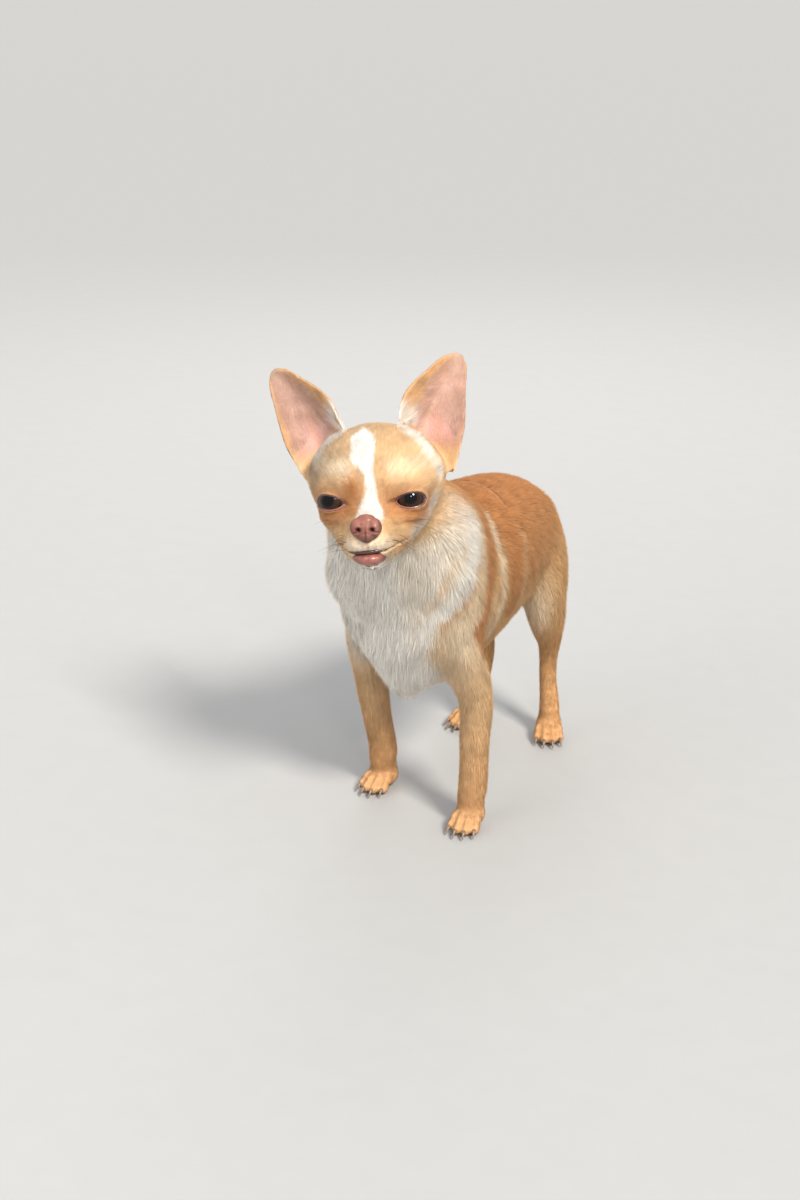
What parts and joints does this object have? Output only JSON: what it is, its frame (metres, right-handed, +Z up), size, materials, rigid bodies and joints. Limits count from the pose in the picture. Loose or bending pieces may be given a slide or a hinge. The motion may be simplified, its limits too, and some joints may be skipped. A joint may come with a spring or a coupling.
{
  "type": "chihuahua",
  "caption": "Life-size short-coated chihuahua standing still on four feet with its ears up and its head turned a little to its left, as a museum shows one.",
  "frame": {"origin": "on the floor that the soles stand on, under the middle of the dog's bounding box", "axes": "+Z up, the body runs along Y with the chest and head towards -Y, and +X is the dog's left side"},
  "size_m": [0.1324, 0.2948, 0.2968],
  "materials": {
    "fur_rust": "short smooth rust-red fur",
    "fur_tan": "short smooth tan and cream fur",
    "fur_white": "soft white fur, longer on the chest",
    "fur_paws": "very short orange-tan fur with dark horn claws",
    "ear_skin": "thin pink skin with short tan fur on the back and rim",
    "nose_leather": "moist pebbled rose-brown nose leather",
    "lip_skin": "moist pink lip skin",
    "eye_glass": "clear gloss over a dark brown iris"
  },
  "bodies": {
    "root": {"torso": "fur_rust", "tail": "fur_rust", "hindleg_left": "fur_rust", "hindleg_right": "fur_rust", "head": "fur_tan", "foreleg_left": "fur_tan", "foreleg_right": "fur_tan", "neck": "fur_white", "jaw": "fur_white", "forepaw_left": "fur_paws", "forepaw_right": "fur_paws", "hindpaw_left": "fur_paws", "hindpaw_right": "fur_paws", "ear_left": "ear_skin", "ear_right": "ear_skin", "nose": "nose_leather", "lower_lip": "lip_skin", "eye_left": "eye_glass", "eye_right": "eye_glass"}
  },
  "joints": []
}
